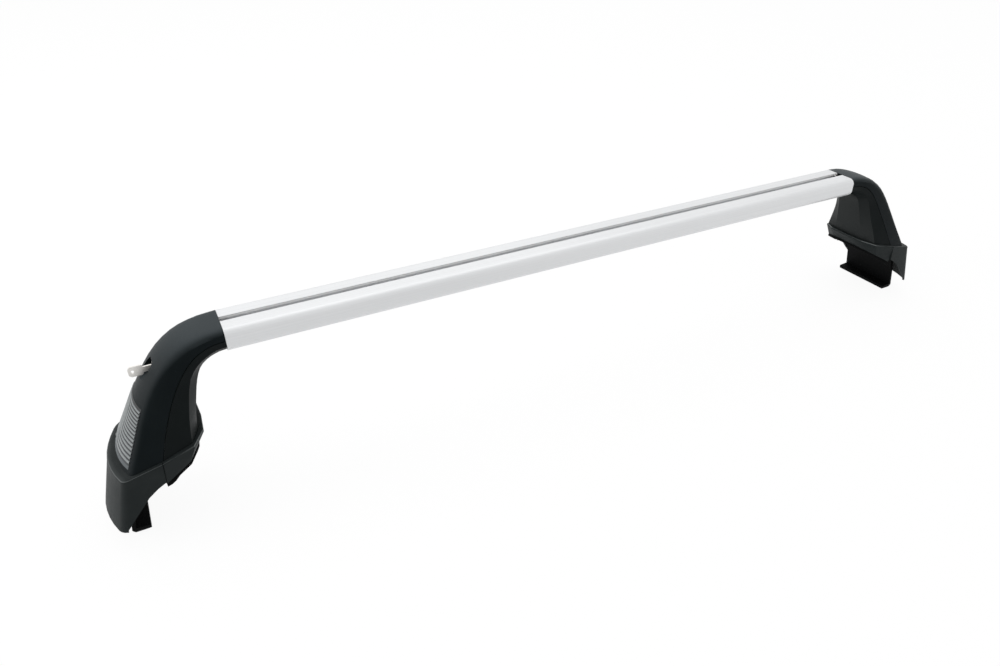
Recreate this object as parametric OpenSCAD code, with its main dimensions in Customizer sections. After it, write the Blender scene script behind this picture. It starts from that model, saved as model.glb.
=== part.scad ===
// Roof rack crossbar: one aluminium aero bar on two clamping feet.
// The right foot is modelled and the left foot is its mirror image.
// Inside a foot, u runs outboard from the mouth of the cover and h is the
// height above the top of the bar, which is negative below it.

/* [Bar] */
// Length of bar that shows between the two feet
bar_visible = 880; // [600:10:1100]
// Width of the bar across the car's length
bar_w = 54; // [50:1:58]
// Height of the bar
bar_h = 25; // [24:0.5:27]
// Radius of the bar's rounded edges
bar_edge_r = 8; // [6:0.5:11]
// Wall thickness of the bar
bar_wall = 2; // [1.6:0.1:2.4]
// Width of the slot along the top of the bar
slot_w = 9; // [7:0.5:12]
// Width of the T-shaped channel under the slot
channel_w = 20; // [16:0.5:22]
// Depth of the channel under its lips
channel_d = 7; // [6:0.5:8]
// Thickness of the lips beside the slot
lip_t = 2.5; // [2:0.1:3]
// Length of each foot's spigot inside the bar
spigot_len = 50; // [44:1:70]

/* [Foot] */
// Height from the lowest point of the claws to the top of the bar
foot_h = 202; // [198:1:215]
// Wall thickness of the moulded covers
cover_wall = 2.2; // [1.8:0.1:2.4]
// Width of the open seam between the inner and the outer cover
seam_gap = 0.8; // [0.4:0.1:1.2]
// Wall thickness of the skirt and the base shoe
skirt_wall = 2.8; // [2.2:0.1:3.4]
// Height of the grip ribs on the outboard panel of the cover
rib_rise = 0.7; // [0.4:0.1:1]
// Number of grip ribs
rib_count = 14; // [10:1:16]
// Thickness of the ledge round the foot of the covers
ledge_t = 2.6; // [2:0.1:3.4]
// Height of the skirt's lower edge above the lowest point
skirt_lift = 22; // [16:1:26]
// Thickness of the rubber pad that rests on the roof
pad_t = 4.5; // [3.5:0.1:5.5]

/* [Clamp] */
// Width of the hook plate
claw_w = 86; // [78:1:88]
// Thickness of the hook plate
claw_t = 3; // [2.5:0.1:3.5]
// Width of the neck of the hook plate inside the cover
claw_neck_w = 40; // [32:1:48]
// Length of the lip that goes under the door frame
claw_lip = 16; // [10:0.5:18]
// Travel of the hook plate towards the car
clamp_travel = 8; // [4:0.5:9]
// Thread diameter of the clamp screw
screw_d = 8; // [7:0.5:8]
// Diameter of the clamp screw's head
screw_head_d = 13; // [12:0.5:14]
// Height of the clamp screw's head
screw_head_h = 8; // [6:0.5:8]
// Size across the flats of the hexagon socket
socket_af = 6; // [5:0.5:6]

/* [Lock] */
// Diameter of the lock body
lock_d = 18; // [15:0.5:19]
// Length of the lock body
lock_len = 20; // [16:0.5:21]
// Diameter of the turning lock core
core_d = 11; // [9:0.5:12]
// Thickness of the key
key_t = 1.9; // [1.5:0.1:2.2]
// Width of the key's bow
key_bow_w = 11.5; // [10:0.5:15]

/* [Hidden] */

$fn = 48;
// Gap left between neighbouring moulded pieces
fit_gap = 0.3;
// Radial clearance of a running fit
run_gap = 0.08;
// Radial clearance of a pin or a pressed seat
pin_gap = 0.03;
// How far a cutting shape runs past the surface that it cuts
past = 1;

// Shape of a cover, station by station from the mouth to the foot.
// Each row holds u and h of the crest, of the seam and of the inner face,
// then the half width at the seam, the corner radius and the crown of the
// crest side, the half width of the inner side and of its flat face, and how
// far the station's middle lies to the front of the bar's.
rim_shift = -6;
// The feet are centred on the frame, so the bar lies a little behind its middle
bar_y = -rim_shift;
// How far the mouth of the covers stands proud of the bar
mouth_rise = 0.3;
mouth_w = bar_w / 2 + mouth_rise;
mouth_top = mouth_rise;
mouth_low = -bar_h - mouth_rise;
mouth_r = bar_edge_r + mouth_rise;
column = [
  [0, mouth_top, 0, -11, 0, mouth_low, mouth_w, mouth_r, 0.2, mouth_w - 0.8, mouth_w - 8, 0],
  [22, mouth_top - 1.9, 14, -12, 9, mouth_low - 1.2,
    mouth_w + 0.6, mouth_r + 1, 0.5, mouth_w - 0.5, mouth_w - 8, 0],
  [45, -8, 30, -18, 19, -31.2, 29.5, 11, 1.5, 28.5, 18, -0.5],
  [66, -22.5, 43, -29.5, 27.5, -38.5, 31, 11, 2.5, 29, 18, -1],
  [83, -42, 55, -46, 33.5, -52, 33, 10, 4, 30, 18.5, -1.6],
  [98.5, -66, 66, -66, 38, -68, 37, 9, 6, 33, 20, -2.3],
  [112, -90.5, 75.5, -87, 42, -84, 43, 8.5, 8, 38.5, 22, -3.1],
  [128, -120.4, 84.2, -110.8, 45, -102, 51, 8, 10, 44.5, 25, rim_shift + 2]];
column_steps = 16;

// The plane of the ledge falls away outboard
ledge_slope = -0.223;
ledge_h0 = -92;
// The plane of the roof under the base shoe is steeper
roof_slope = -0.549;
roof_h0 = -90.7;

function ledge_h(u) = ledge_h0 + ledge_slope * u;
function roof_h(u) = roof_h0 + roof_slope * u;
function mix(a, b, f) = a + (b - a) * f;
function spline(a, b, c, d, f) =
  0.5 * (2 * b + (c - a) * f + (2 * a - 5 * b + 4 * c - d) * f * f + (3 * b - a - 3 * c + d) * f * f * f);

// A smooth row between the rows of a table, at t from 0 to 1
function row_at(table, t) =
  let (n = len(table) - 1, x = t * n, i = min(floor(x), n - 1), f = x - i,
       b = table[i], c = table[i + 1],
       a = i > 0 ? table[i - 1] : 2 * b - c,
       d = i < n - 1 ? table[i + 2] : 2 * c - b)
  spline(a, b, c, d, f);

// Half of a crest-side outline: [depth, width] pairs from the seam to the middle.
// depth runs from the seam to the crest, w is the half width at the seam.
// The crown is a parabola, and the corner arc ends where their slopes agree.
corner_steps = 4;
crown_steps = 4;
function crest_half(a, w, r, crown) =
  let (e = atan(2 * crown / (w - r / 2)), w_crown = w - r + r * sin(e), low = a - crown - r * cos(e))
  concat([[0, w]],
    [for (k = [0:corner_steps])
      let (g = (90 - e) * k / corner_steps) [low + r * sin(g), w - r + r * cos(g)]],
    [for (k = [crown_steps - 1:-1:0])
      let (f = k / crown_steps) [a - crown * f * f, w_crown * f]]);
function inner_half(a, w, w_side, w_face, chamfer) =
  [[0, w], [a - chamfer, w_side], [a - chamfer * 0.12, w_face], [a, 0]];
function both_sides(half) =
  concat(half, [for (k = [len(half) - 2:-1:0]) [half[k][0], -half[k][1]]]);
// Places an outline on the plane through the point s towards the point p
function place(outline, s, p, y) =
  let (dir = (p - s) / norm(p - s))
    [for (q = outline) [s[0] + dir[0] * q[0], y + q[1], s[1] + dir[1] * q[0]]];
function reversed(list) = [for (k = [len(list) - 1:-1:0]) list[k]];

// Closes a ring whose second half runs back beside its first half
function strip_cap(n) = concat(
  [for (k = [0:floor(n / 2) - 2]) each [[k, n - 2 - k, k + 1], [k, n - 1 - k, n - 2 - k]]],
  n % 2 == 1 ? [[(n - 3) / 2, (n + 1) / 2, (n - 1) / 2]] : []);
// Skins a row of rings that all have the same number of points
module loft(rings) {
  n = len(rings[0]);
  m = len(rings);
  points = [for (ring = rings) each ring];
  sides = [for (i = [0:m - 2], k = [0:n - 1])
    let (a = i * n + k, b = i * n + (k + 1) % n)
      each [[a, b, b + n], [a, b + n, a + n]]];
  last = [for (f = strip_cap(n)) [for (k = [2:-1:0]) (m - 1) * n + f[k]]];
  polyhedron(points = points, faces = concat(sides, strip_cap(n), last), convexity = 6);
}

// Ring of the outer cover at station t
function crest_ring(t) =
  let (q = row_at(column, t), s = [q[2], q[3]], p = [q[0], q[1]], a = norm(p - s),
       shift = seam_gap / 2,
       outer = both_sides(crest_half(a, q[6], q[7], q[8])),
       inner = both_sides(crest_half(a - cover_wall, q[6] - cover_wall, q[7] - cover_wall, q[8])),
       trim = function (list) [for (k = [0:len(list) - 1]) [max(list[k][0], shift), list[k][1]]])
  place(concat(trim(outer), reversed(trim(inner))), s, p, q[11]);

// Ring of one grip rib at station t: a thin band that follows the crown of the panel
rib_margin = 1.5;
rib_root = 1;
function rib_ring(t) =
  let (q = row_at(column, t), s = [q[2], q[3]], p = [q[0], q[1]], a = norm(p - s),
       crown = q[8],
       r = q[7],
       e = atan(2 * crown / (q[6] - r / 2)),
       w = q[6] - r + r * sin(e) - rib_margin,
       drop = crown * pow(w / (w + rib_margin), 2),
       half = [for (k = [crown_steps:-1:0]) let (f = k / crown_steps) [a - drop * f * f, w * f]],
       band = both_sides(half))
  place(concat(
    [for (k = band) [k[0] + rib_rise, k[1]]],
    [for (k = reversed(band)) [k[0] - rib_root, k[1]]]), s, p, q[11]);
// First and last station of the ribs, and the share of each pitch that a rib takes
rib_first = 0.7;
rib_last = 0.965;
rib_share = 0.42;
module ribs() {
  pitch = (rib_last - rib_first) / rib_count;
  for (k = [0:rib_count - 1])
    loft([rib_ring(rib_first + (k + rib_share) * pitch), rib_ring(rib_first + k * pitch)]);
}

// Ring of the inner cover at station t
function inner_ring(t) =
  let (q = row_at(column, t), s = [q[2], q[3]], p = [q[4], q[5]], a = norm(p - s),
       chamfer = min(10, a * 0.5),
       outer = both_sides(inner_half(a, q[6], q[9], q[10], chamfer)),
       side_in = q[9] - cover_wall,
       face_in = q[10] - cover_wall * 0.6,
       inner = both_sides(inner_half(a - cover_wall, q[6] - cover_wall, side_in, face_in, chamfer)),
       shift = seam_gap / 2,
       trim = function (list) [for (k = [0:len(list) - 1]) [max(list[k][0], shift), list[k][1]]])
  place(concat(trim(outer), reversed(trim(inner))), s, p, q[11]);

module foot_place(side) {
  mirror([side < 0 ? 1 : 0, 0, 0]) translate([bar_visible / 2, bar_y, foot_h]) children();
}

// The crest side of the column without its hollow
function crest_solid_ring(t) =
  let (q = row_at(column, t), s = [q[2], q[3]], p = [q[0], q[1]], a = norm(p - s))
  place(both_sides(crest_half(a, q[6], q[7], q[8])), s, p, q[11]);

// Extrudes a side view, drawn as [u, h], to a width centred on the foot
module side_view(width) {
  rotate([90, 0, 0]) linear_extrude(height = width, center = true) children();
}
// Extrudes a plan view, drawn as [u, y], between two heights
module plan_view(low, high) {
  translate([0, 0, low]) linear_extrude(height = high - low) children();
}
// A cylinder that runs outboard from u0 to u1 at height h
module cross_rod(u0, u1, h, r) {
  translate([u0, 0, h]) rotate([0, 90, 0]) cylinder(h = u1 - u0, r = r);
}
// A cylinder across the foot, centred on it
module wide_rod(u, h, r, width) {
  translate([u, 0, h]) rotate([90, 0, 0]) cylinder(h = width, r = r, center = true);
}

// Hinge of the outer cover, close to the ledge
hinge_r = 3;
hinge_pin_r = 1.5;
hinge_inset = 6.7;
hinge_u = column[len(column) - 1][0] - hinge_inset;
swing_r = hinge_r + fit_gap;
hinge_h = ledge_h(hinge_u) - fit_gap + swing_r + fit_gap;
barrel_w = 26;
lug_w = 5;
lug_y = barrel_w / 2 + fit_gap + lug_w / 2;
lug_toe = 1.2;

// Lock, on a level axis through the shoulder of the cover
lock_h = -35.2;
lock_face_u = 70;
lock_back_u = lock_face_u - lock_len;
recess_r = lock_d / 2 + 1.3;
sleeve_wall = 2;
sleeve_back_u = lock_back_u + 4;
stub_r = 3.5;
cam_t = 2.5;
cam_reach = 14;
cam_arm_w = 7;
cam_front_u = lock_back_u - fit_gap;
cam_back_u = cam_front_u - cam_t;
catch_u = lock_back_u + fit_gap;
catch_t = 2.5;
catch_w = 18;
catch_top = lock_h - lock_d / 2 - 2 * fit_gap;
catch_low = -67;
catch_seat = -60;
key_slot_h = 6.4;
key_slot_back_u = lock_back_u + 1.5;

// Frame
frame_w = 30;
channel_floor = lip_t + channel_d;
spigot_top = -(channel_floor + bar_wall) - fit_gap;
spigot_low = -(bar_h - bar_wall) + fit_gap;
bolt_r = 3;
bolt_head_r = 4.8;
bolt_head_h = 2.6;
bolt_len = 8;
bolt_socket_r = 2.3;
bolt_socket_h = 1.6;
bolt_us = [-12, 12 - spigot_len];
leg_root = 20;

// Clamp
clamp_h = -98;
neck_u = 94;
washer_t = 1.6;
washer_r = 8;
washer_u = neck_u + claw_t;
head_u = washer_u + washer_t;
screw_len = 38;
nut_af = screw_d + 5;
nut_t = 6.5;
nut_u = 70;
boss_u = neck_u - clamp_travel - 2.5;
boss_half = 10;

module bar_outline(w, h, r) {
  for (side = [-1, 1]) {
    translate([side * (w / 2 - r), -r]) circle(r);
    translate([side * (w / 2 - r), r - h]) circle(r);
  }
  translate([-w / 2 + r, -h]) square([w - 2 * r, h]);
  translate([-w / 2, r - h]) square([w, h - 2 * r]);
}
module bar_section() {
  difference() {
    bar_outline(bar_w, bar_h, bar_edge_r);
    difference() {
      translate([0, -bar_wall])
        bar_outline(bar_w - 2 * bar_wall, bar_h - 2 * bar_wall, bar_edge_r - bar_wall);
      translate([-channel_w / 2 - bar_wall, -channel_floor - bar_wall])
        square([channel_w + 2 * bar_wall, channel_floor + bar_wall]);
    }
    translate([-channel_w / 2, -channel_floor]) square([channel_w, channel_d]);
    translate([-slot_w / 2, -channel_floor]) square([slot_w, channel_floor + 1]);
  }
}
module bar() {
  color("silver") difference() {
    translate([0, bar_y, foot_h]) rotate([90, 0, 90])
      linear_extrude(height = bar_visible - 2 * fit_gap, center = true) bar_section();
    for (side = [-1, 1]) foot_place(side) for (u = bolt_us)
      translate([u, 0, -bar_h - 1]) cylinder(h = bar_wall + 2, r = bolt_r + fit_gap);
  }
}

module outer_cover() {
  color("#24282a") difference() {
    union() {
      loft([for (i = [column_steps:-1:0]) crest_ring(i / column_steps)]);
      intersection() {
        loft([for (i = [column_steps:-1:0]) crest_solid_ring(i / column_steps)]);
        cross_rod(sleeve_back_u, lock_face_u + 30, lock_h, recess_r + sleeve_wall);
      }
      wide_rod(hinge_u, hinge_h, hinge_r, barrel_w);
      ribs();
    }
    cross_rod(lock_face_u, lock_face_u + 40, lock_h, recess_r);
    cross_rod(lock_back_u, lock_face_u + 1, lock_h, lock_d / 2 + pin_gap);
    wide_rod(hinge_u, hinge_h, hinge_pin_r + run_gap, barrel_w + 2);
    side_view(bar_w * 3) difference() {
      translate([hinge_u, hinge_h - 4 * hinge_r]) square([4 * hinge_r, 4 * hinge_r]);
      translate([hinge_u, hinge_h]) circle(swing_r);
    }
    for (side = [-1, 1]) translate([hinge_u, side * lug_y, hinge_h]) rotate([90, 0, 0])
      cylinder(h = lug_w + 2 * fit_gap, r = hinge_r + fit_gap, center = true);
  }
}

module inner_cover() {
  color("#1b1e20") loft([for (i = [0:column_steps]) inner_ring(i / column_steps)]);
}

// Width of the rounded edge along the rims of the skirt and the base shoe
rim_round = 1.6;
// The skirt: a ledge at the top and a flared wall below it
// Each row holds where it starts and ends along u, its half width, the radius
// of its front corner, its crown, and the radius of its rear corner.
skirt_top = [86, 136.3, 53.5, 9, 9.5, 17];
skirt_low = [90, 152, 56.5, 12, 10, 26];
skirt_hole = [86, 121, 46, 9, 9, 12];
skirt_steps = 5;
skirt_low_h = skirt_lift - foot_h;
function skirt_outline(q, inset) =
  let (reach = q[1] - q[0] - inset,
       rear = crest_half(reach, q[2] - inset, q[5] - inset, q[4]),
       front = crest_half(reach, q[2] - inset, q[3] - inset, q[4]))
  concat(rear, [for (k = [len(front) - 2:-1:0]) [front[k][0], -front[k][1]]]);
function tilted(outline, u0, drop) =
  [for (q = outline) [u0 + q[0], rim_shift + q[1], ledge_h(u0 + q[0]) - fit_gap - drop]];
function level(outline, u0, h) = [for (q = outline) [u0 + q[0], rim_shift + q[1], h]];
function blend_ring(a, b, f) = [for (k = [0:len(a) - 1]) mix(a[k], b[k], f)];
// The outer half of one ring with the inner half of the other, a little lower
function edge_ring(a, b) =
  let (n = len(a) / 2) [for (k = [0:len(a) - 1]) k < n ? a[k] : mix(a[k], b[k], 0.9)];
module skirt_loft() {
  rim = skirt_outline(skirt_top, 0);
  rim_in = skirt_outline(skirt_top, skirt_wall);
  hole = skirt_outline(skirt_hole, 0);
  foot = skirt_outline(skirt_low, 0);
  foot_in = skirt_outline(skirt_low, skirt_wall);
  rim_top = skirt_outline(skirt_top, rim_round);
  rim_mid = skirt_outline(skirt_top, rim_round * 0.3);
  top = tilted(concat(rim_top, reversed(hole)), skirt_top[0], 0);
  bend = edge_ring(tilted(concat(rim_mid, reversed(hole)), skirt_top[0], rim_round * 0.3), top);
  side = edge_ring(tilted(concat(rim, reversed(hole)), skirt_top[0], rim_round), top);
  under = tilted(concat(rim, reversed(hole)), skirt_top[0], ledge_t);
  wall = tilted(concat(rim, reversed(rim_in)), skirt_top[0], ledge_t + 0.4);
  low = level(concat(foot, reversed(foot_in)), skirt_low[0], skirt_low_h);
  sides = [for (i = [0:skirt_steps]) blend_ring(wall, low, i / skirt_steps)];
  loft(reversed(concat([top, bend, side, under], sides)));
}
// Lower edge of the skirt's sides, from the seam to the low corner
skirt_cut = [
  [70, -133.5], [87, -133.5], [96, -138.5], [106, -146], [127, -170], [133.4, -178],
  [133.4, -foot_h - skirt_lift], [70, -foot_h - skirt_lift]];
module skirt() {
  color("#2b3032") difference() {
    union() {
      skirt_loft();
      for (side = [-1, 1]) translate([hinge_u, side * lug_y, 0]) {
        translate([0, 0, hinge_h]) rotate([90, 0, 0]) cylinder(h = lug_w, r = hinge_r, center = true);
        translate([-hinge_r, -lug_w / 2, ledge_h(hinge_u) - ledge_t / 2])
          cube([hinge_r + lug_toe, lug_w, hinge_h - ledge_h(hinge_u) + ledge_t / 2]);
      }
    }
    side_view(4 * skirt_low[2]) polygon(skirt_cut);
    wide_rod(hinge_u, hinge_h, hinge_pin_r + pin_gap, 2 * lug_y + lug_w + 2 * past);
  }
}
module hinge_pin() {
  color("#9a9da0") wide_rod(hinge_u, hinge_h, hinge_pin_r, 2 * lug_y + lug_w);
}

// The base shoe: the ledge and wall under the inner cover
shoe_top = [85.2, 39.5, 53.5, 47.5, 28, 14];
shoe_low = [87, 47.5, 51, 45.5, 28, 13];
shoe_hole = [85.2, 51.5, 46, 40, 22, 11];
shoe_lip_h = 2.5;
function shoe_outline(q, inset) =
  both_sides(inner_half(q[0] - q[1] - inset, q[2] - inset, q[3] - inset, q[4] - inset * 0.6, q[5]));
function inward(outline, u0, drop) =
  [for (q = outline) [u0 - q[0], rim_shift + q[1], ledge_h(u0 - q[0]) - fit_gap - drop]];
function inward_roof(outline, u0) = [for (q = outline) [u0 - q[0], rim_shift + q[1], roof_h(u0 - q[0])]];
module base_shoe() {
  rim = shoe_outline(shoe_top, 0);
  rim_in = shoe_outline(shoe_top, skirt_wall);
  hole = shoe_outline(shoe_hole, 0);
  foot = shoe_outline(shoe_low, 0);
  foot_in = shoe_outline(shoe_low, skirt_wall);
  rim_top = shoe_outline(shoe_top, rim_round);
  rim_mid = shoe_outline(shoe_top, rim_round * 0.3);
  top = inward(concat(rim_top, reversed(hole)), shoe_top[0], 0);
  bend = edge_ring(inward(concat(rim_mid, reversed(hole)), shoe_top[0], rim_round * 0.3), top);
  side = edge_ring(inward(concat(rim, reversed(hole)), shoe_top[0], rim_round), top);
  under = inward(concat(rim, reversed(hole)), shoe_top[0], ledge_t);
  wall = inward(concat(rim, reversed(rim_in)), shoe_top[0], ledge_t + 0.4);
  low = inward_roof(concat(foot, reversed(foot_in)), shoe_low[0]);
  color("#26292b") {
    loft([top, bend, side, under, wall, low]);
    for (side = [-1, 1]) translate([0, rim_shift, 0]) scale([1, side, 1]) shoe_lap();
  }
}
// A plate that laps behind the skirt's edge and closes the seam between them
lap_len = 7;
lap_low = -131;
lap_root = 8;
lap_t = 1.6;
module shoe_lap() {
  y1 = shoe_low[2] - skirt_wall - fit_gap;
  intersection() {
    linear_extrude(height = 2 * foot_h, center = true) polygon([
      [shoe_low[0] - lap_root, y1 + skirt_wall / 2], [shoe_top[0] - seam_gap, y1 + skirt_wall / 2],
      [shoe_top[0] - seam_gap, y1], [shoe_low[0] + lap_len, y1],
      [shoe_low[0] + lap_len, y1 - lap_t], [shoe_low[0] - lap_root, y1 - lap_t]]);
    side_view(4 * shoe_low[2]) polygon([
      [shoe_low[0] - lap_root, ledge_h(shoe_low[0] - lap_root) - ledge_t],
      [shoe_low[0] - lap_root, lap_low],
      [shoe_low[0] + lap_len / 2, lap_low - 3], [shoe_low[0] + lap_len, lap_low - 4],
      [shoe_low[0] + lap_len, ledge_h(shoe_low[0] + lap_len) - ledge_t - 1]]);
  }
}

// Plan of what lies inside the base shoe
function shoe_plan(inset) =
  [for (q = shoe_outline(shoe_low, inset)) [shoe_low[0] - q[0], rim_shift + q[1]]];
module roof_slab(low, high, u0, u1) {
  side_view(2 * shoe_top[2] + 10)
    polygon([
      [u0, roof_h(u0) + low], [u1, roof_h(u1) + low],
      [u1, roof_h(u1) + high], [u0, roof_h(u0) + high]]);
}
pad_show = 2.5;
pad_inset = skirt_wall + fit_gap;
module roof_pad() {
  color("#141414") intersection() {
    roof_slab(-pad_show, pad_t - pad_show, 30, shoe_low[0] - 1);
    plan_view(-180, -90) polygon(shoe_plan(pad_inset));
  }
}

// Structural frame: spigot in the bar, leg and base plate
// The spigot is thinner where the mouth of the inner cover passes under it
relief_u = 4.5;
relief_h = 0.9;
leg = [
  [-spigot_len, spigot_top], [leg_root + 4, spigot_top],
  [34, -20], [38, -30], [41.5, -40], [44.5, -50],
  [catch_u, catch_seat], [catch_u, catch_low - 1], [63, -80],
  [boss_u, clamp_h + boss_half], [boss_u, clamp_h - boss_half],
  [80, -113], [83, -126], [56, -115], [53, -100],
  [47, -78], [40, -58], [34, -42], [24, -27],
  [leg_root, spigot_low], [relief_u + 2, spigot_low],
  [relief_u, spigot_low + relief_h], [0, spigot_low + relief_h],
  [-1, spigot_low], [-spigot_len, spigot_low]];
plate_t = 6;
module frame() {
  color("#4a4d50") difference() {
    union() {
      side_view(frame_w) polygon(leg);
      intersection() {
        roof_slab(pad_t - pad_show, pad_t - pad_show + plate_t, 30, shoe_low[0] - lap_root - fit_gap);
        plan_view(-180, -90) polygon(shoe_plan(pad_inset));
      }
    }
    for (u = bolt_us) translate([u, 0, spigot_low - 2]) cylinder(h = bar_h, r = bolt_r + pin_gap);
    cross_rod(30, boss_u + 1, clamp_h, screw_d / 2 + fit_gap);
    translate([nut_u - fit_gap / 2, -nut_af / 2 - fit_gap / 2, clamp_h - nut_af / 2 - fit_gap / 2])
      cube([nut_t + fit_gap, frame_w, nut_af + fit_gap]);
    cross_rod(cam_back_u - fit_gap, catch_u, lock_h, cam_reach + 1);
  }
}
// Steel plate on the frame that the lock's cam turns behind, with its two rivets
rivet_r = 2.5;
rivet_y = 5;
rivet_h = (catch_seat + catch_low) / 2;
module lock_catch() {
  color("#a2a5a8") {
    translate([catch_u, -catch_w / 2, catch_low]) cube([catch_t, catch_w, catch_top - catch_low]);
    for (side = [-1, 1]) translate([0, side * rivet_y, 0])
      cross_rod(catch_u + catch_t / 2, catch_u + catch_t + 1.2, rivet_h, rivet_r);
  }
}
module frame_bolts() {
  color("#8c8f92") for (u = bolt_us) translate([u, 0, -bar_h]) difference() {
    union() {
      translate([0, 0, -bolt_head_h / 2]) cylinder(h = bolt_len + bolt_head_h / 2, r = bolt_r);
      translate([0, 0, -bolt_head_h]) cylinder(h = bolt_head_h, r = bolt_head_r);
    }
    translate([0, 0, -bolt_head_h - 1]) cylinder(h = bolt_socket_h + 1, r = bolt_socket_r, $fn = 6);
  }
}

// Hook plate, bent from steel: neck, slanted wall and lip
claw_low_h = -foot_h;
neck_top = clamp_h + 13;
neck_low = -112;
shoulder_h = -126;
bend_u = 130;
tip_u = bend_u + 0.5 - claw_lip;
// The slanted wall runs from the neck to the bend; along and down are shares of the way
bend_in = [bend_u - 1, claw_low_h + 7.5];
function on_slant(along, down) = [mix(neck_u, bend_in[0], along), mix(neck_low, bend_in[1], down)];
slant = [on_slant(0.557, 0.376), on_slant(0.829, 0.667)];
plate_out = [claw_t, 1];
// Side view of the plate: its inner line down to the tip, then its outer line back up
claw_wall = [
  [neck_u, neck_top], [neck_u, neck_low], slant[0], slant[1], bend_in,
  [tip_u, claw_low_h + 6.3], [tip_u, claw_low_h + 1.8], [tip_u + 8, claw_low_h],
  [bend_u, claw_low_h + 1.2],
  [bend_u + claw_t, claw_low_h + 6], slant[1] + plate_out, slant[0] + plate_out,
  [neck_u + claw_t, neck_low + 1], [neck_u + claw_t, neck_top]];
claw_corner = 6;
claw_front_len = 160;
module claw_front() {
  half = claw_w / 2;
  low_h = claw_low_h + claw_corner - 1;
  translate([-claw_neck_w / 2, shoulder_h - claw_corner])
    square([claw_neck_w, neck_top - shoulder_h + claw_corner]);
  polygon([
    [-claw_neck_w / 2, neck_low - 4], [-half + claw_corner, shoulder_h], [-half + claw_corner, low_h],
    [half - claw_corner, low_h], [half - claw_corner, shoulder_h], [claw_neck_w / 2, neck_low - 4]]);
  translate([-half, low_h]) square([claw_w, shoulder_h - claw_corner - low_h]);
  translate([claw_corner - half, low_h - claw_corner]) square([claw_w - 2 * claw_corner, claw_corner]);
  for (side = [-1, 1], h = [shoulder_h - claw_corner, low_h])
    translate([side * (half - claw_corner), h]) circle(claw_corner);
}
module claw() {
  color("#101112") difference() {
    intersection() {
      side_view(claw_w) polygon(claw_wall);
      rotate([90, 0, 90]) linear_extrude(height = claw_front_len) claw_front();
    }
    cross_rod(neck_u - 1, neck_u + claw_t + 1, clamp_h, screw_d / 2 + 0.5);
  }
}
module clamp_screw() {
  color("#b9bcc0") difference() {
    union() {
      cross_rod(head_u - screw_len, head_u + 1, clamp_h, screw_d / 2);
      cross_rod(head_u, head_u + screw_head_h, clamp_h, screw_head_d / 2);
    }
    translate([head_u + screw_head_h - 5, 0, clamp_h]) rotate([0, 90, 0])
      cylinder(h = 6, r = socket_af / sqrt(3), $fn = 6);
  }
}
module clamp_washer() {
  color("#a5a8ab") difference() {
    cross_rod(washer_u, washer_u + washer_t, clamp_h, washer_r);
    cross_rod(washer_u - 1, washer_u + washer_t + 1, clamp_h, screw_d / 2 + run_gap);
  }
}
module clamp_nut() {
  color("#8f9396") difference() {
    translate([nut_u, -nut_af / 2, clamp_h - nut_af / 2]) cube([nut_t, nut_af, nut_af]);
    cross_rod(nut_u - 1, nut_u + nut_t + 1, clamp_h, screw_d / 2 + run_gap);
  }
}

module lock_body() {
  color("#3a3c3e") difference() {
    cross_rod(lock_back_u, lock_face_u, lock_h, lock_d / 2);
    cross_rod(lock_back_u - 1, lock_face_u + 1, lock_h, core_d / 2 + run_gap);
  }
}
module lock_core() {
  color("#c9c6bc") difference() {
    union() {
      cross_rod(lock_back_u, lock_face_u + 0.4, lock_h, core_d / 2);
      cross_rod(cam_back_u - 0.6, lock_back_u + 1, lock_h, stub_r);
    }
    translate([key_slot_back_u, -key_t / 2 - run_gap, lock_h - key_slot_h / 2])
      cube([lock_len + 5, key_t + 2 * run_gap, key_slot_h]);
  }
}
module lock_cam() {
  color("#a8a49a") difference() {
    union() {
      cross_rod(cam_back_u, cam_front_u, lock_h, 6);
      translate([cam_back_u, 0, lock_h - cam_arm_w / 2])
        cube([cam_t, cam_reach - cam_arm_w / 2, cam_arm_w]);
      translate([cam_back_u, cam_reach - cam_arm_w / 2, lock_h]) rotate([0, 90, 0])
        cylinder(h = cam_t, r = cam_arm_w / 2);
    }
    cross_rod(cam_back_u - 1, cam_front_u + 1, lock_h, stub_r + pin_gap);
  }
}
blade_h = 6;
bow_u = lock_face_u + 9.5;
bow_len = 14;
bow_r = 3.5;
module key_profile() {
  difference() {
    union() {
      translate([key_slot_back_u + 0.5, lock_h - blade_h / 2]) square([bow_u - key_slot_back_u, blade_h]);
      for (x = [bow_u + bow_r, bow_u + bow_len - bow_r], y = [-1, 1])
        translate([x, lock_h + y * (key_bow_w / 2 - bow_r)]) circle(bow_r);
      translate([bow_u + bow_r, lock_h - key_bow_w / 2]) square([bow_len - 2 * bow_r, key_bow_w]);
      translate([bow_u, lock_h - key_bow_w / 2 + bow_r]) square([bow_len, key_bow_w - 2 * bow_r]);
    }
    translate([bow_u + bow_len - 4, lock_h]) circle(1.7);
    for (k = [0:3]) translate([key_slot_back_u + 3.5 + k * 3.5, lock_h + blade_h / 2 + 0.6]) circle(1.5);
  }
}
module key() {
  color("#d9d6cc") side_view(key_t) key_profile();
}

module foot_piece(side, name) {
  foot_place(side) {
    if (name == "outer_cover") outer_cover();
    if (name == "inner_cover") inner_cover();
    if (name == "skirt") skirt();
    if (name == "base_shoe") base_shoe();
    if (name == "roof_pad") roof_pad();
    if (name == "frame") frame();
    if (name == "frame_bolts") frame_bolts();
    if (name == "claw") claw();
    if (name == "clamp_screw") clamp_screw();
    if (name == "clamp_washer") clamp_washer();
    if (name == "clamp_nut") clamp_nut();
    if (name == "hinge_pin") hinge_pin();
    if (name == "lock_body") lock_body();
    if (name == "lock_core") lock_core();
    if (name == "lock_cam") lock_cam();
    if (name == "lock_catch") lock_catch();
    if (name == "key") key();
  }
}

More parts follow.
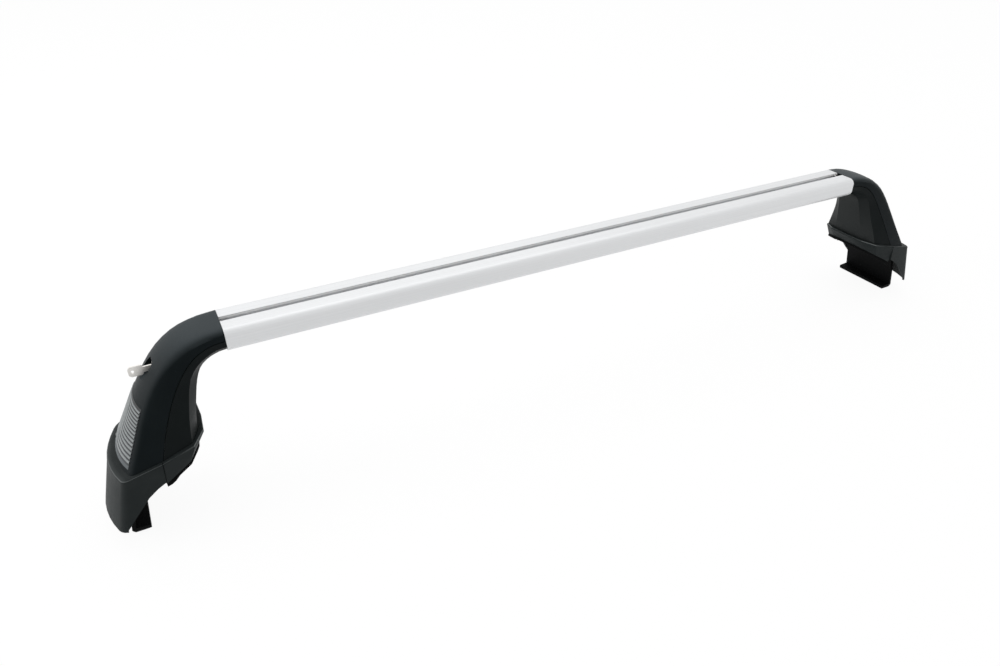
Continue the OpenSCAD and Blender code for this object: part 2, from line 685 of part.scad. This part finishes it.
bar();
foot_piece(-1, "outer_cover");  // left_outer_cover
foot_piece(-1, "inner_cover");  // left_inner_cover
foot_piece(-1, "skirt");  // left_skirt
foot_piece(-1, "base_shoe");  // left_base_shoe
foot_piece(-1, "roof_pad");  // left_roof_pad
foot_piece(-1, "frame");  // left_frame
foot_piece(-1, "frame_bolts");  // left_frame_bolts
foot_piece(-1, "claw");  // left_claw
foot_piece(-1, "clamp_screw");  // left_clamp_screw
foot_piece(-1, "clamp_washer");  // left_clamp_washer
foot_piece(-1, "clamp_nut");  // left_clamp_nut
foot_piece(-1, "hinge_pin");  // left_hinge_pin
foot_piece(-1, "lock_body");  // left_lock_body
foot_piece(-1, "lock_core");  // left_lock_core
foot_piece(-1, "lock_cam");  // left_lock_cam
foot_piece(-1, "lock_catch");  // left_lock_catch
foot_piece(-1, "key");  // left_key
foot_piece(1, "outer_cover");  // right_outer_cover
foot_piece(1, "inner_cover");  // right_inner_cover
foot_piece(1, "skirt");  // right_skirt
foot_piece(1, "base_shoe");  // right_base_shoe
foot_piece(1, "roof_pad");  // right_roof_pad
foot_piece(1, "frame");  // right_frame
foot_piece(1, "frame_bolts");  // right_frame_bolts
foot_piece(1, "claw");  // right_claw
foot_piece(1, "clamp_screw");  // right_clamp_screw
foot_piece(1, "clamp_washer");  // right_clamp_washer
foot_piece(1, "clamp_nut");  // right_clamp_nut
foot_piece(1, "hinge_pin");  // right_hinge_pin
foot_piece(1, "lock_body");  // right_lock_body
foot_piece(1, "lock_core");  // right_lock_core
foot_piece(1, "lock_cam");  // right_lock_cam
foot_piece(1, "lock_catch");  // right_lock_catch
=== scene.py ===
import math
import bpy
from mathutils import Matrix, Vector


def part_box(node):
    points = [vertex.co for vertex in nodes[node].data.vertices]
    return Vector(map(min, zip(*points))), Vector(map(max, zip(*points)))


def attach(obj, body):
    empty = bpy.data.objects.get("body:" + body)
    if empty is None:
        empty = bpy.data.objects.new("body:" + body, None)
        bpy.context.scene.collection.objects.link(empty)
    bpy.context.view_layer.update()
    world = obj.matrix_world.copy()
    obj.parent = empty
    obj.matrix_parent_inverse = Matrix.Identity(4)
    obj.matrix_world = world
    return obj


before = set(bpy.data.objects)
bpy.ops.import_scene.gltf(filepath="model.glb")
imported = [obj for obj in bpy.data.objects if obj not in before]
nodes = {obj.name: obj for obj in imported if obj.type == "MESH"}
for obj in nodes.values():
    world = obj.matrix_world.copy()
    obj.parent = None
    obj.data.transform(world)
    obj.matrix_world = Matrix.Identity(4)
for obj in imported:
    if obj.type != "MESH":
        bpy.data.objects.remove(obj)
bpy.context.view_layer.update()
scene = bpy.context.scene

WHITE = (1, 1, 1, 1)

# places on the bar in metres, from which the others are worked out: its middle and its top,
# the slot's half width, and how far under the top the slot's walls start, which are painted
# near white as painted light over the shade in the slot

bar_low, bar_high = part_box("bar")
bar_mid_y = (bar_low[1] + bar_high[1]) / 2
bar_top_z = bar_high[2]
SLOT_HALF = 0.0047
SLOT_EDGE = 0.0006

# materials


class Mat:
    """A small helper that builds a node material."""

    def __init__(self, name):
        self.mat = bpy.data.materials.new(name)
        self.mat.use_nodes = True
        self.tree = self.mat.node_tree
        self.bsdf = self.tree.nodes["Principled BSDF"]
        self.coord = self.add("ShaderNodeTexCoord")

    def add(self, kind, **values):
        node = self.tree.nodes.new(kind)
        for key, value in values.items():
            setattr(node, key, value)
        return node

    def link(self, a, b):
        self.tree.links.new(a, b)

    def split(self, kind):
        """X, Y and Z of a point on the piece: Object for its place, Normal for its facing."""
        parts = self.add("ShaderNodeSeparateXYZ")
        self.link(self.coord.outputs[kind], parts.inputs["Vector"])
        return parts.outputs

    def noise(self, scale, detail=3.0, rough=0.5, stretch=(1, 1, 1)):
        """Noise over the piece's own places, which stretch multiplies."""
        place = self.add("ShaderNodeMapping")
        place.inputs["Scale"].default_value = stretch
        self.link(self.coord.outputs["Object"], place.inputs["Vector"])
        n = self.add("ShaderNodeTexNoise")
        n.inputs["Scale"].default_value = scale
        n.inputs["Detail"].default_value = detail
        n.inputs["Roughness"].default_value = rough
        self.link(place.outputs["Vector"], n.inputs["Vector"])
        return n.outputs["Fac"]

    def grooves(self, pitch):
        """Turned grooves along X."""
        wave = self.add("ShaderNodeTexWave", wave_type="BANDS", bands_direction="X", wave_profile="SIN")
        wave.inputs["Scale"].default_value = WAVE_LENGTH / pitch
        self.link(self.coord.outputs["Object"], wave.inputs["Vector"])
        return wave.outputs["Fac"]

    def ramp(self, fac, stops):
        r = self.add("ShaderNodeValToRGB")
        while len(r.color_ramp.elements) < len(stops):
            r.color_ramp.elements.new(0.5)
        for element, (at, colour) in zip(r.color_ramp.elements, stops):
            element.position = at
            element.color = (*colour, 1.0)
        self.link(fac, r.inputs["Fac"])
        return r.outputs["Color"]

    def spread(self, fac, low, high, start=0.0, end=1.0):
        """From low to high, while the value runs from start to end."""
        m = self.add("ShaderNodeMapRange")
        for socket, value in (("From Min", start), ("From Max", end), ("To Min", low), ("To Max", high)):
            m.inputs[socket].default_value = value
        self.link(fac, m.inputs["Value"])
        return m.outputs["Result"]

    def maths(self, kind, a, b=0.0):
        m = self.add("ShaderNodeMath", operation=kind)
        for k, v in enumerate((a, b)):
            if isinstance(v, (int, float)):
                m.inputs[k].default_value = v
            else:
                self.link(v, m.inputs[k])
        return m.outputs[0]

    def mixed(self, share, a, b):
        """Colour a, with a share of the plain colour b."""
        m = self.add("ShaderNodeMix", data_type="RGBA")
        m.inputs[7].default_value = (*b, 1.0)
        self.link(share, m.inputs[0])
        self.link(a, m.inputs[6])
        return m.outputs[2]

    def bump(self, height, strength, distance):
        b = self.add("ShaderNodeBump")
        b.inputs["Strength"].default_value = strength
        b.inputs["Distance"].default_value = distance
        self.link(height, b.inputs["Height"])
        return b.outputs["Normal"]

    def set(self, **values):
        for key, value in values.items():
            self.bsdf.inputs[key.replace("_", " ")].default_value = value

    def to(self, socket, value):
        self.link(value, self.bsdf.inputs[socket])


def bar_aluminium():
    """Drawn aluminium with fine streaks along the bar; the slot's walls and floor are painted near white
    and less metallic, a painted light over the shade in the slot.
    """
    m = Mat("bar_aluminium")
    streak = m.noise(1.0, detail=4.0, rough=0.6, stretch=(1.2, 900, 900))
    cloud = m.noise(1.0, stretch=(3, 12, 12))
    both = m.maths("ADD", m.maths("MULTIPLY", streak, 0.6), m.maths("MULTIPLY", cloud, 0.4))
    skin = m.ramp(both, [(0.3, (0.74, 0.75, 0.76)), (0.7, (0.83, 0.84, 0.85))])
    place = m.split("Object")
    off_middle = m.maths("ABSOLUTE", m.maths("SUBTRACT", place["Y"], bar_mid_y))
    # painted light: the slot's walls and floor get a near white, less metallic colour over the shade
    # that falls in the slot
    painted_slot_light = m.maths("MULTIPLY", m.maths("LESS_THAN", off_middle, SLOT_HALF),
                     m.maths("LESS_THAN", place["Z"], bar_top_z - SLOT_EDGE))
    m.to("Base Color", m.mixed(painted_slot_light, skin, (0.97, 0.97, 0.97)))
    m.to("Roughness", m.spread(streak, 0.36, 0.48))
    m.to("Normal", m.bump(streak, strength=0.1, distance=0.0002))
    m.to("Metallic", m.maths("MULTIPLY", m.maths("SUBTRACT", 1.0, painted_slot_light), 0.55))
    return m.mat


def plastic(name, dark, light, rough, grain, strength, gloss, painted_sheen=None):
    """Grained plastic. An axis, a ramp over the facing along it and a paler colour make a painted sheen:
    the colour turns paler where the faces turn that way.
    """
    m = Mat(name)
    fine = m.noise(grain, detail=2.0, rough=0.6)
    cloud = m.noise(30.0, rough=0.55)
    skin = m.ramp(cloud, [(0.3, dark), (0.7, light)])
    # painted sheen: faces turned along the axis are mixed towards the paler colour, as light falling on
    # them would make them look
    if painted_sheen:
        axis, stops, pale = painted_sheen
        facing = m.split("Normal")[axis]
        if axis == "X":
            facing = m.maths("ABSOLUTE", facing)
        skin = m.mixed(m.ramp(facing, [(at, (v, v, v)) for at, v in stops]), skin, pale)
    m.to("Base Color", skin)
    m.to("Roughness", m.spread(cloud, *rough))
    m.to("Normal", m.bump(fine, strength, distance=0.0004))
    m.set(Specular_IOR_Level=gloss)
    return m.mat


def metal(name, dark, light, rough, grain, strength, metallic=1.0, gloss=0.5, pitch=None):
    """Metal with a fine grain, or with turned grooves along X where a pitch is given."""
    m = Mat(name)
    fine = m.noise(grain, detail=4.0, rough=0.65)
    m.to("Base Color", m.ramp(fine, [(0.3, dark), (0.7, light)]))
    m.to("Roughness", m.spread(fine, *rough))
    if pitch:
        m.to("Normal", m.bump(m.grooves(pitch), strength, distance=0.0004))
    else:
        m.to("Normal", m.bump(fine, strength, distance=0.0003))
    m.set(Metallic=metallic, Specular_IOR_Level=gloss)
    return m.mat


# The pitch of the clamp screw's thread in metres, and the length of one band of the wave
# texture at scale 1
THREAD_PITCH = 0.00125
WAVE_LENGTH = 0.314
ZINC = {"dark": (0.42, 0.43, 0.44), "light": (0.62, 0.62, 0.6), "rough": (0.28, 0.45), "grain": 500}

# painted sheen: the cover's upward faces turn paler, in place of the sheen of the top light
cover_mat = plastic(
    "cover_plastic", dark=(0.0046, 0.0074, 0.0084), light=(0.0072, 0.0106, 0.0118),
    rough=(0.4, 0.5), grain=2600, strength=0.25, gloss=0.05,
    painted_sheen=("Z", [(0.45, 0.0), (0.75, 0.45), (0.97, 1.0)], (0.052, 0.062, 0.067)))
# painted sheen: faces turned to either end of the bar turn paler, in place of the sheen of the side lamp
inner_mat = plastic(
    "inner_plastic", dark=(0.006, 0.0082, 0.0084), light=(0.0088, 0.0114, 0.0116),
    rough=(0.4, 0.5), grain=2600, strength=0.25, gloss=0.05,
    painted_sheen=("X", [(0.6, 0.0), (0.9, 1.0)], (0.03, 0.033, 0.033)))
# painted highlight: faces that slope between upright and level, as on the rounded rim, turn paler as a
# light line along the rim of the skirt and base shoe
skirt_mat = plastic(
    "skirt_plastic", dark=(0.012, 0.0158, 0.0162), light=(0.018, 0.0222, 0.0226),
    rough=(0.46, 0.58), grain=2200, strength=0.3, gloss=0.1,
    painted_sheen=("Z", [(0.42, 0.0), (0.5, 1.0), (0.86, 1.0), (0.94, 0.0)], (0.14, 0.15, 0.15)))
pad_mat = plastic(
    "pad_rubber", dark=(0.004, 0.0042, 0.0044), light=(0.008, 0.0082, 0.0084),
    rough=(0.75, 0.9), grain=1500, strength=0.4, gloss=0.03)
bar_mat = bar_aluminium()
frame_mat = metal(
    "frame_metal", dark=(0.03, 0.03, 0.032), light=(0.06, 0.06, 0.062),
    rough=(0.55, 0.75), grain=600, strength=0.5, metallic=0.0)
claw_mat = metal(
    "coated_steel", dark=(0.003, 0.0032, 0.0034), light=(0.006, 0.0062, 0.0064),
    rough=(0.5, 0.65), grain=900, strength=0.25, metallic=0.0, gloss=0.04)
zinc_mat = metal("zinc_steel", **ZINC, strength=0.2)
lock_mat = metal(
    "lock_zinc", dark=(0.02, 0.021, 0.022), light=(0.04, 0.041, 0.043),
    rough=(0.35, 0.5), grain=700, strength=0.2, metallic=0.3)
core_mat = metal(
    "lock_core_metal", dark=(0.5, 0.49, 0.46), light=(0.7, 0.69, 0.66),
    rough=(0.2, 0.35), grain=500, strength=0.15)
key_mat = metal(
    "key_metal", dark=(0.8, 0.78, 0.74), light=(0.92, 0.9, 0.87),
    rough=(0.25, 0.4), grain=400, strength=0.2, metallic=0.6)
screw_mat = metal("screw_metal", **ZINC, strength=0.6, pitch=THREAD_PITCH)

material_of = {
    "bar": bar_mat, "outer_cover": cover_mat, "inner_cover": inner_mat, "skirt": skirt_mat,
    "base_shoe": skirt_mat, "roof_pad": pad_mat, "frame": frame_mat, "frame_bolts": zinc_mat,
    "claw": claw_mat, "clamp_screw": screw_mat, "clamp_washer": zinc_mat, "clamp_nut": zinc_mat,
    "hinge_pin": zinc_mat, "lock_body": lock_mat, "lock_core": core_mat, "lock_cam": zinc_mat,
    "lock_catch": zinc_mat, "key": key_mat,
}

# smooth shading and edge radii: lengths in metres, angles in degrees

WELD_DISTANCE = 0.000005
SMOOTH_BELOW = 24
RADIUS_ABOVE = 38
radius_of = {
    "outer_cover": 0.0004, "inner_cover": 0.0004, "skirt": 0.0005, "base_shoe": 0.0005,
    "claw": 0.0005, "key": 0.0002,
}


def shading_group(name, degrees):
    """Geometry nodes that join a mesh's split corners and shade it smooth below an angle."""
    tree = bpy.data.node_groups.new(name, "GeometryNodeTree")
    tree.interface.new_socket("Geometry", in_out="INPUT", socket_type="NodeSocketGeometry")
    tree.interface.new_socket("Geometry", in_out="OUTPUT", socket_type="NodeSocketGeometry")
    start = tree.nodes.new("NodeGroupInput")
    end = tree.nodes.new("NodeGroupOutput")
    drop = tree.nodes.new("GeometryNodeRemoveAttribute")
    drop.inputs["Name"].default_value = "custom_normal"
    weld = tree.nodes.new("GeometryNodeMergeByDistance")
    weld.inputs["Distance"].default_value = WELD_DISTANCE
    faces = tree.nodes.new("GeometryNodeSetShadeSmooth")
    faces.domain = "FACE"
    edges = tree.nodes.new("GeometryNodeSetShadeSmooth")
    edges.domain = "EDGE"
    angle = tree.nodes.new("GeometryNodeInputMeshEdgeAngle")
    soft = tree.nodes.new("FunctionNodeCompare")
    soft.data_type = "FLOAT"
    soft.operation = "LESS_THAN"
    soft.inputs["B"].default_value = math.radians(degrees)
    chain = [start, drop, weld, faces, edges, end]
    for a, b in zip(chain, chain[1:]):
        tree.links.new(a.outputs["Geometry"], b.inputs["Geometry"])
    tree.links.new(angle.outputs["Unsigned Angle"], soft.inputs["A"])
    tree.links.new(soft.outputs["Result"], edges.inputs["Shade Smooth"])
    return tree


def moulded(node, group, radius):
    """Smooth shading and a small radius along the sharp edges of a CAD node."""
    join = node.modifiers.new("smooth", "NODES")
    join.node_group = group
    soft = node.modifiers.new("edges", "BEVEL")
    soft.width = radius
    soft.segments = 2
    soft.limit_method = "ANGLE"
    soft.angle_limit = math.radians(RADIUS_ABOVE)
    soft.harden_normals = True


loft_shading = shading_group("loft_shading", SMOOTH_BELOW)
for name, node in nodes.items():
    kind = name.split("_", 1)[-1]
    node.data.materials.clear()
    node.data.materials.append(material_of[kind])
    if kind in radius_of:
        moulded(node, loft_shading, radius_of[kind])

# Places in a foot are in millimetres: u runs outboard from the mouth of the cover, y across
# the foot from the bar's middle, h up from the top of the bar. RIM_SHIFT is how far the foot's
# base lies off that middle, which is to the front

mouth_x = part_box("right_outer_cover")[0][0]
RIM_SHIFT = -6.0


def foot_point(side, u, y, h):
    """A place in the left foot, with side -1, or in the right one, with side 1."""
    return Vector((side * (mouth_x + u / 1000), bar_mid_y + y / 1000, bar_top_z + h / 1000))


# Stations of the outer cover round its grip panel, the first and last of which have these
# numbers in the cover: u and h of the crest and of the seam, the half width, the corner
# radius, the crown and the shift to the front
STATIONS = [
    (66, -22.5, 43, -29.5, 31, 11, 2.5, -1),
    (83, -42, 55, -46, 33, 10, 4, -1.6),
    (98.5, -66, 66, -66, 37, 9, 6, -2.3),
    (112, -90.5, 75.5, -87, 43, 8.5, 8, -3.1),
    (128, -120.4, 84.2, -110.8, 51, 8, 10, -4),
]
FIRST_STATION = 3
LAST_STATION = 7


def smooth(p, q, r, s, f):
    """A curve from q to r at the share f, with p before them and s after them."""
    square = (2 * p - 5 * q + 4 * r - s) * f * f
    cube = (3 * q - p - 3 * r + s) * f ** 3
    return 0.5 * (2 * q + (r - p) * f + square + cube)


def station(t):
    """The cover's sizes at a share t of its length, smooth between the stations."""
    x = t * LAST_STATION - FIRST_STATION
    i = min(int(x), len(STATIONS) - 2)
    a, b, c = STATIONS[i - 1:i + 2]
    d = STATIONS[i + 2] if i + 2 < len(STATIONS) else [2 * q - p for p, q in zip(b, c)]
    return [smooth(p, q, r, s, x - i) for p, q, r, s in zip(a, b, c, d)]


def panel_half(t):
    """Half the width of the crowned grip panel."""
    w, r, crown = station(t)[4:7]
    return w - r + r * math.sin(math.atan(2 * crown / (w - r / 2)))


def panel_point(side, t, across, lift):
    """A point of the crowned grip panel; across runs from -1 to 1, lift stands off it."""
    cu, ch, su, sh, w, r, crown, shift = station(t)
    deep = math.hypot(cu - su, ch - sh)
    half = panel_half(t)
    out = deep - crown * across * across + lift
    du, dh = (cu - su) / deep, (ch - sh) / deep
    return foot_point(side, su + du * out, shift + half * across, sh + dh * out)


def grid_mesh(rows):
    """Points and faces of a grid, from rows of points that are all equally long."""
    n = len(rows[0])
    faces = [(i * n + k, i * n + k + 1, (i + 1) * n + k + 1, (i + 1) * n + k)
             for i in range(len(rows) - 1) for k in range(n - 1)]
    return [p for row in rows for p in row], faces


def piece(name, grids, body, material, thick=0.0):
    """One object from several grids, riding on a body."""
    points, faces = [], []
    for grid in grids:
        p, f = grid_mesh(grid)
        faces += [tuple(k + len(points) for k in face) for face in f]
        points += p
    mesh = bpy.data.meshes.new(name)
    mesh.from_pydata(points, [], faces)
    mesh.validate()
    for poly in mesh.polygons:
        poly.use_smooth = True
    obj = bpy.data.objects.new(name, mesh)
    scene.collection.objects.link(obj)
    mesh.materials.append(material)
    if thick:
        solid = obj.modifiers.new("thickness", "SOLIDIFY")
        solid.thickness = thick
        solid.offset = 0
    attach(obj, body)


def steps(low, high, count):
    """Evenly spaced values from low to high, both included."""
    return [low + (high - low) * k / count for k in range(count + 1)]


# The grip panel: the heights in metres between which its inlay turns paler

PALER_FROM = 0.145
PALER_TO = 0.085

# Along the cover, as shares of its length

INLAY_START = 0.685
RIB_FIRST = 0.7
RIB_LAST = 0.965
PLATE_START = 0.9665
PLATE_END = 0.981

# The inlay's share of the panel's width, a rib's share of the pitch, and how far the rib's
# face laps over its sides and how far in its shoulders lie, as shares of the rib's width

INLAY_WIDTH = 0.965
RIB_SHARE = 0.42
RIB_LAP = 0.02
RIB_SHOULDER = 0.2

# Off the solid panel in millimetres: the inlay, the solid rib, and the foot, the edge over
# the rib and the crown of the rib's face. The margin lies beside each end of a rib

INLAY_LIFT = 0.18
RIB_RISE = 0.7
RIB_FOOT = 0.25
RIB_SKIN = 0.03
RIB_CROWN = 0.2
RIB_MARGIN = 1.5

RIB_COUNT = 14
WIDTH_STEPS = 16
INLAY_STEPS = 40
PLATE_STEPS = 4


def panel_plastic(name, dark, pale):
    """Grey inlay of the grip panel, paler towards its lower end."""
    m = Mat(name)
    fall = m.spread(m.split("Object")["Z"], 0.0, 1.0, start=PALER_FROM, end=PALER_TO)
    cloud = m.noise(60.0)
    uneven = m.maths("MULTIPLY", m.maths("SUBTRACT", cloud, 0.5), 0.2)
    m.to("Base Color", m.ramp(m.maths("ADD", fall, uneven), [(0.05, dark), (1.0, pale)]))
    m.to("Roughness", m.spread(cloud, 0.38, 0.48))
    m.to("Normal", m.bump(m.noise(2400, detail=2.0), strength=0.2, distance=0.0003))
    m.set(Specular_IOR_Level=0.3)
    return m.mat


def rib_highlight_plastic():
    """Faces of the grip ribs, painted far paler than the inlay's grey: painted highlights along the
    ribs.
    """
    m = Mat("rib_highlight_plastic")
    cloud = m.noise(80.0)
    m.to("Base Color", m.ramp(cloud, [(0.3, (0.19, 0.21, 0.215)), (0.7, (0.27, 0.29, 0.295))]))
    m.to("Roughness", m.spread(cloud, 0.32, 0.42))
    m.set(Specular_IOR_Level=0.5)
    return m.mat


panel_mat = panel_plastic("panel_plastic", dark=(0.012, 0.014, 0.015), pale=(0.035, 0.042, 0.046))
plate_mat = panel_plastic("plate_plastic", dark=(0.06, 0.072, 0.08), pale=(0.09, 0.105, 0.115))
rib_highlight_mat = rib_highlight_plastic()


def across_panel(side, t, width, lift):
    """A row of points across the grip panel, over a share of its width."""
    return [panel_point(side, t, f * width, lift) for f in steps(-1, 1, WIDTH_STEPS)]


def inlay(side, start, end, count):
    """A grid just off the panel, between two shares of the cover's length."""
    return [across_panel(side, t, INLAY_WIDTH, INLAY_LIFT) for t in steps(start, end, count)]


def rib_highlight_face(side, start, width):
    """A face over one rib that carries its painted highlight, whose edges lap over the sides of the
    solid rib.
    """
    reach = 1 - (RIB_MARGIN - RIB_SKIN) / panel_half(start)
    half = [(-RIB_LAP, RIB_FOOT), (-RIB_LAP, RIB_RISE + RIB_SKIN), (RIB_SHOULDER, RIB_RISE + RIB_CROWN)]
    profile = half + [(1 - at, lift) for at, lift in reversed(half)]
    return [across_panel(side, start + at * width, reach, lift) for at, lift in profile]


def grip_panel(side, name):
    """The inlay that carries the ribs, the bare plate below them, and a pale face on each rib for a
    painted highlight along it.
    """
    pitch = (RIB_LAST - RIB_FIRST) / RIB_COUNT
    ribs = [rib_highlight_face(side, RIB_FIRST + k * pitch, RIB_SHARE * pitch) for k in range(RIB_COUNT)]
    panel = [inlay(side, INLAY_START, PLATE_START, INLAY_STEPS)]
    plate = [inlay(side, PLATE_START, PLATE_END, PLATE_STEPS)]
    body = name + "_cover"
    piece(name + "_grip_panel", panel, body, panel_mat)
    piece(name + "_panel_plate", plate, body, plate_mat)
    piece(name + "_rib_highlights", ribs, body, rib_highlight_mat)


# The rubber lip of the roof pad, which shows under the edge of the base shoe. The roof line
# is the height of that edge, falling outboard, and SHOE_FOOT is half its plan, as u and y.
# The sections run outwards and up from the edge; the toe is a deeper stretch at the front

ROOF_SLOPE = -0.549
ROOF_START = -90.7
SHOE_FOOT = [(87, 51), (60.5, 45.5), (52, 33.5), (49.1, 28), (47.5, 14), (47.5, 0)]
SHOE_MIDDLE = 70
SHOE_STEPS = 6
TOE_START = 74
TOE_END = 83
LIP_INNER = [(-3.2, 0.4), (-3.2, -2.6)]
LIP_OUTER = [(-0.4, -0.15), (-1.2, -0.1)]
LIP_SECTION = LIP_INNER + [(-2.2, -3.8), (-0.6, -4.2), (0.3, -3.4), (0.2, -0.9)] + LIP_OUTER
TOE_SECTION = LIP_INNER + [(-2.2, -4.8), (-0.6, -5.8), (0.7, -4.8), (0.6, -0.9)] + LIP_OUTER


def shoe_path():
    """Plan of the base shoe's lower edge, from one seam round to the other."""
    half = []
    for (u0, y0), (u1, y1) in zip(SHOE_FOOT, SHOE_FOOT[1:]):
        shares = [k / SHOE_STEPS for k in range(SHOE_STEPS)]
        half += [(u0 + (u1 - u0) * f, y0 + (y1 - y0) * f) for f in shares]
    half.append(SHOE_FOOT[-1])
    return half + [(u, -y) for u, y in reversed(half[:-1])]


def pad_lip(side, name):
    """The lip, swept along the edge with its sections square to it."""
    path = shoe_path()
    rows = []
    for k, (u, y) in enumerate(path):
        before, after = path[max(k - 1, 0)], path[min(k + 1, len(path) - 1)]
        du, dy = after[0] - before[0], after[1] - before[1]
        size = math.hypot(du, dy)
        out_u, out_y = dy / size, -du / size
        if out_u * (u - SHOE_MIDDLE) + out_y * y < 0:
            out_u, out_y = -out_u, -out_y
        section = TOE_SECTION if TOE_START < u < TOE_END and y < 0 else LIP_SECTION
        edge = ROOF_START + ROOF_SLOPE * u
        rows.append([foot_point(side, u + out_u * q, y + out_y * q + RIM_SHIFT, edge + r)
                     for q, r in section])
    piece(name + "_pad_lip", [rows], "crossbar", pad_mat)


# The dark strip behind the seam, a sheet of painted shade: its distance from the foot's middle in
# millimetres, how much it falls for each millimetre outboard of a u, its thickness in metres, and
# its grids, each of which runs over a range of u and a range of h with a count of steps

SHADE_STRIP_Y = 44.5
SHADE_STRIP_FALL = 0.223
SHADE_STRIP_FROM = 80
SHADE_STRIP_THICK = 0.0012
SHADE_STRIP_GRIDS = [((78, 94, 4), (-134, -107, 6)), ((84, 89, 2), (-140, -134, 2))]


def seam_shade_strip(side, name):
    """A dark strip behind the seam of the skirt and the base shoe, on both sides of the foot: painted
    shade in the gap of the seam.
    """
    grids = []
    for y in (RIM_SHIFT - SHADE_STRIP_Y, RIM_SHIFT + SHADE_STRIP_Y):
        for along, up in SHADE_STRIP_GRIDS:
            grids.append([[foot_point(side, u, y, h - SHADE_STRIP_FALL * (u - SHADE_STRIP_FROM)) for h in steps(*up)]
                          for u in steps(*along)])
    piece(name + "_seam_shade_strip", grids, "crossbar", pad_mat, SHADE_STRIP_THICK)


for side, name in ((-1, "left"), (1, "right")):
    grip_panel(side, name)
    pad_lip(side, name)
    seam_shade_strip(side, name)

# The studio: the floor's size in metres, the strength of its glow and the glow's share, and the
# world's strength as a light and as it is seen

FLOOR_SIZE = 30
GLOW_STRENGTH = 1.03
GLOW_SHARE = 0.9
WORLD_LIGHT = 0.62
WORLD_SEEN = 1.0

bpy.ops.mesh.primitive_plane_add(size=FLOOR_SIZE, location=(0, 0, 0))
floor = bpy.context.object
floor.name = "studio_floor"


def seen_rays(tree):
    """1 for rays from the camera, off glossy surfaces and through clear ones, else 0."""
    rays = tree.nodes.new("ShaderNodeLightPath")
    seen = rays.outputs["Is Camera Ray"]
    for kind in ("Is Glossy Ray", "Is Transmission Ray"):
        larger = tree.nodes.new("ShaderNodeMath")
        larger.operation = "MAXIMUM"
        tree.links.new(seen, larger.inputs[0])
        tree.links.new(rays.outputs[kind], larger.inputs[1])
        seen = larger.outputs[0]
    return seen


def white_light(tree, kind, strength):
    """A white emission or background of a strength."""
    node = tree.nodes.new(kind)
    node.inputs["Color"].default_value = WHITE
    node.inputs["Strength"].default_value = strength
    return node.outputs[0]


def blend(tree, share, plain, seen, target):
    """Leads the plain shader, with a share of the seen one, to a target."""
    node = tree.nodes.new("ShaderNodeMixShader")
    tree.links.new(share, node.inputs["Fac"])
    tree.links.new(plain, node.inputs[1])
    tree.links.new(seen, node.inputs[2])
    tree.links.new(node.outputs[0], target.inputs["Surface"])


def floor_material():
    """Nearly white to the camera, with a faint shadow; plain pale paint to everything else."""
    m = Mat("studio_floor")
    m.set(Base_Color=(0.92, 0.92, 0.92, 1.0), Roughness=0.9, Specular_IOR_Level=0.1)
    glow = white_light(m.tree, "ShaderNodeEmission", GLOW_STRENGTH)
    share = m.maths("MULTIPLY", seen_rays(m.tree), GLOW_SHARE)
    blend(m.tree, share, m.bsdf.outputs[0], glow, m.tree.nodes["Material Output"])
    return m.mat


def studio_world():
    """White to the camera and in reflections, and dimmer as a light."""
    world = bpy.data.worlds.new("studio")
    scene.world = world
    world.use_nodes = True
    tree = world.node_tree
    tree.nodes.clear()
    target = tree.nodes.new("ShaderNodeOutputWorld")
    dim = white_light(tree, "ShaderNodeBackground", WORLD_LIGHT)
    bright = white_light(tree, "ShaderNodeBackground", WORLD_SEEN)
    blend(tree, seen_rays(tree), dim, bright, target)


def lamp(name, place, aim, size, power):
    """A soft rectangular lamp at a place, turned to a point."""
    data = bpy.data.lights.new(name, "AREA")
    data.shape = "RECTANGLE"
    data.size, data.size_y = size
    data.energy = power
    obj = bpy.data.objects.new(name, data)
    obj.location = place
    obj.rotation_euler = (Vector(aim) - Vector(place)).to_track_quat("-Z", "Y").to_euler()
    scene.collection.objects.link(obj)


floor.data.materials.append(floor_material())
studio_world()
lamp("top_light", place=(0.2, 0.9, 2.4), aim=(0, 0, 0.1), size=(3.2, 1.8), power=12)
lamp("back_light", place=(0.0, 3.0, 1.9), aim=(0, 0, 0.2), size=(4.0, 1.6), power=6)
lamp("left_light", place=(-2.6, 0.5, 1.0), aim=(-0.5, 0, 0.1), size=(1.4, 1.2), power=15)

# The camera: its focal length and the picture's width in pixels, the sensor's width in
# millimetres, its angles in degrees and its place in metres

FOCAL = 747.0
PICTURE_WIDTH = 1000.0
SENSOR_WIDTH = 36.0
YAW = 27.22
PITCH = 32.36
ROLL = -0.26
CAMERA_PLACE = (-0.4825, -0.697, 0.5926)


def photo_camera():
    """The camera of the photograph, turned right by yaw, down by pitch and then rolled."""
    yaw, pitch, roll = math.radians(YAW), math.radians(PITCH), math.radians(ROLL)
    ahead = Vector((math.sin(yaw), math.cos(yaw), 0))
    right = Vector((math.cos(yaw), -math.sin(yaw), 0))
    up = Vector((0, 0, 1))
    look = ahead * math.cos(pitch) - up * math.sin(pitch)
    top = up * math.cos(pitch) + ahead * math.sin(pitch)
    r = right * math.cos(roll) + top * math.sin(roll)
    u = top * math.cos(roll) - right * math.sin(roll)
    data = bpy.data.cameras.new("photo_camera")
    data.sensor_fit = "HORIZONTAL"
    data.sensor_width = SENSOR_WIDTH
    data.lens = FOCAL / PICTURE_WIDTH * SENSOR_WIDTH
    data.clip_start = 0.01
    cam = bpy.data.objects.new("photo_camera", data)
    rows = Matrix((r, u, -look)).transposed().to_4x4()
    rows.translation = Vector(CAMERA_PLACE)
    cam.matrix_world = rows
    scene.collection.objects.link(cam)
    scene.camera = cam


photo_camera()
scene.view_settings.view_transform = "Standard"
